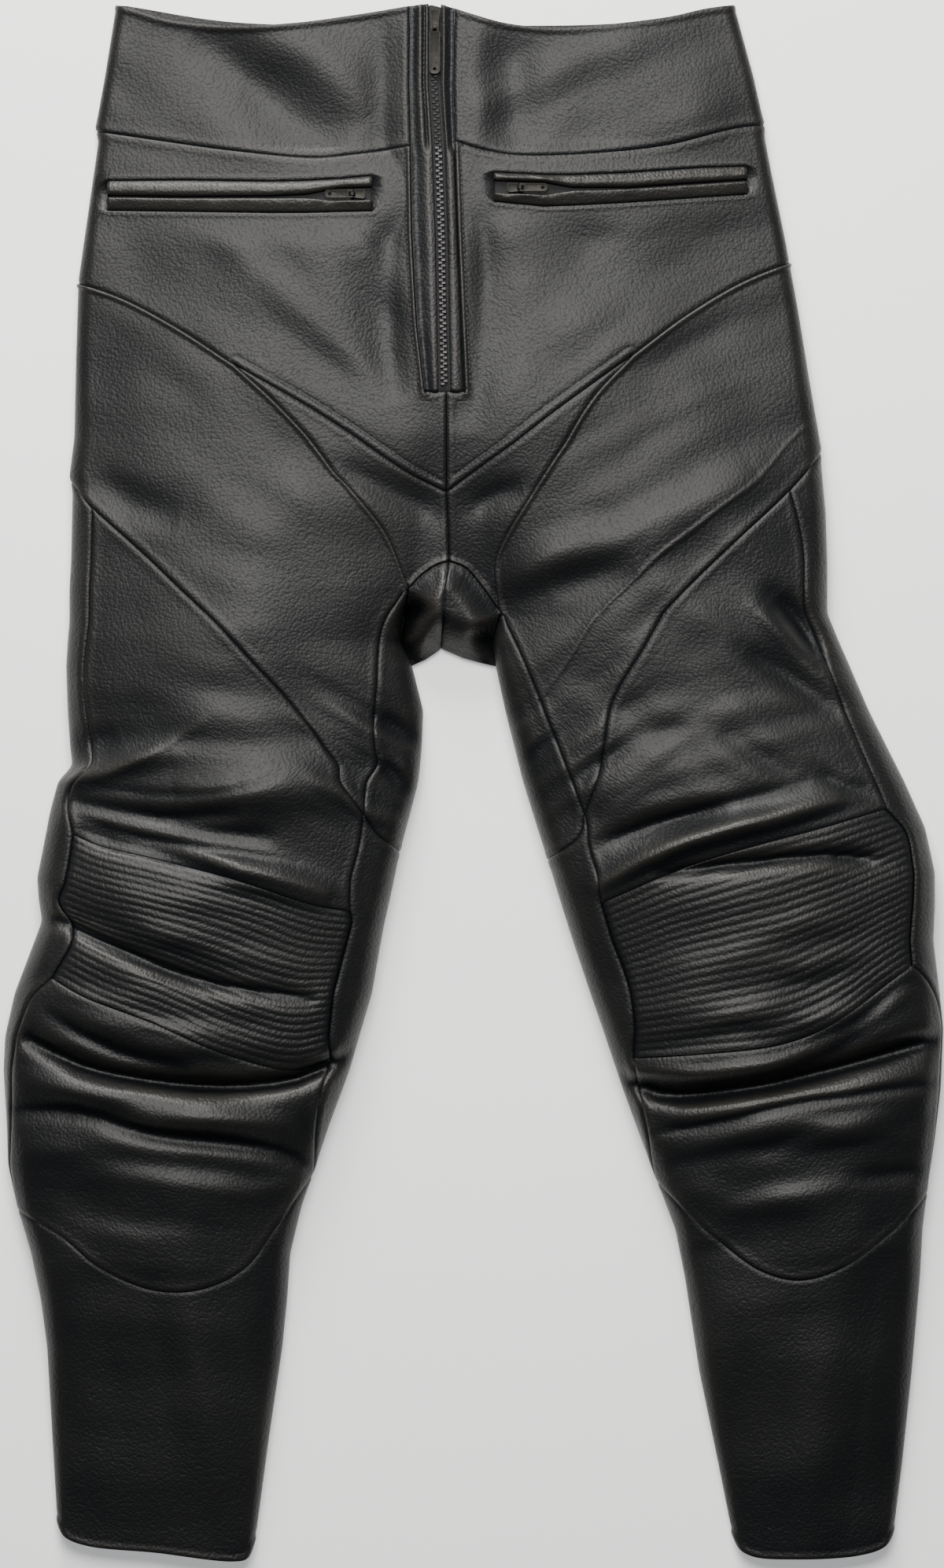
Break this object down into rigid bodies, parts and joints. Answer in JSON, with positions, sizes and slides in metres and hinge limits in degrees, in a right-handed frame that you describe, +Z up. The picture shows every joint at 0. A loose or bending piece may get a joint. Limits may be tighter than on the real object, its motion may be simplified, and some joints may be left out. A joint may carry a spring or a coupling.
{
  "type": "leather trousers",
  "caption": "Black leather riding trousers laid flat: deep waistband, centre zip fly, two zip pockets, curved panels, ribbed knees and creased knee pads.",
  "frame": {"origin": "middle of the flat underside, on the surface it lies on", "axes": "+Y towards the waist, +Z up through the front panels, +X to the wearer's left"},
  "size_m": [0.5847, 0.971, 0.0541],
  "materials": {
    "leather": "soft satin full-grain black leather, fine pebble grain",
    "zip_tape": "matt woven black tape",
    "zip_teeth": "dull worn metal",
    "zip_slider": "dark gunmetal, worn along the edges"
  },
  "bodies": {
    "trousers": {"waistband_front_right": "leather", "waistband_front_left": "leather", "waistband_back": "leather", "hip_front_right": "leather", "hip_front_left": "leather", "crotch_front_right": "leather", "crotch_front_left": "leather", "gusset_right": "leather", "gusset_left": "leather", "thigh_front_right": "leather", "thigh_front_left": "leather", "lower_thigh_right": "leather", "lower_thigh_left": "leather", "inner_thigh_right": "leather", "inner_thigh_left": "leather", "knee_ribbed_right": "leather", "knee_ribbed_left": "leather", "knee_pad_right": "leather", "knee_pad_left": "leather", "inner_calf_right": "leather", "inner_calf_left": "leather", "shin_right": "leather", "shin_left": "leather", "seat_right": "leather", "seat_left": "leather", "back_leg_right": "leather", "back_leg_left": "leather", "pocket_welt_upper_right": "leather", "pocket_welt_upper_left": "leather", "pocket_welt_lower_right": "leather", "pocket_welt_lower_left": "leather", "fly_welt_right": "leather", "fly_welt_left": "leather", "fly_tape": "zip_tape", "pocket_zip_right": "zip_tape", "pocket_zip_left": "zip_tape", "fly_teeth": "zip_teeth", "fly_slider": "zip_slider", "pocket_slider_right": "zip_slider", "pocket_slider_left": "zip_slider"},
    "fly_pull": {"fly_pull": "zip_slider"},
    "pocket_pull_right": {"pocket_pull_right": "zip_slider"},
    "pocket_pull_left": {"pocket_pull_left": "zip_slider"}
  },
  "joints": [
    {"name": "fly_pull_hinge", "type": "hinge", "parent": "trousers", "child": "fly_pull", "pos_m": [-0.024, 0.4703, 0.02154], "axis": [-1, 0, 0], "range_deg": [0, 170]},
    {"name": "pocket_pull_right_hinge", "type": "hinge", "parent": "trousers", "child": "pocket_pull_right", "pos_m": [-0.0752, 0.3662, 0.02789], "axis": [0, 1, 0], "range_deg": [0, 170]},
    {"name": "pocket_pull_left_hinge", "type": "hinge", "parent": "trousers", "child": "pocket_pull_left", "pos_m": [0.0292, 0.3702, 0.02776], "axis": [0, -1, 0], "range_deg": [0, 170]}
  ]
}
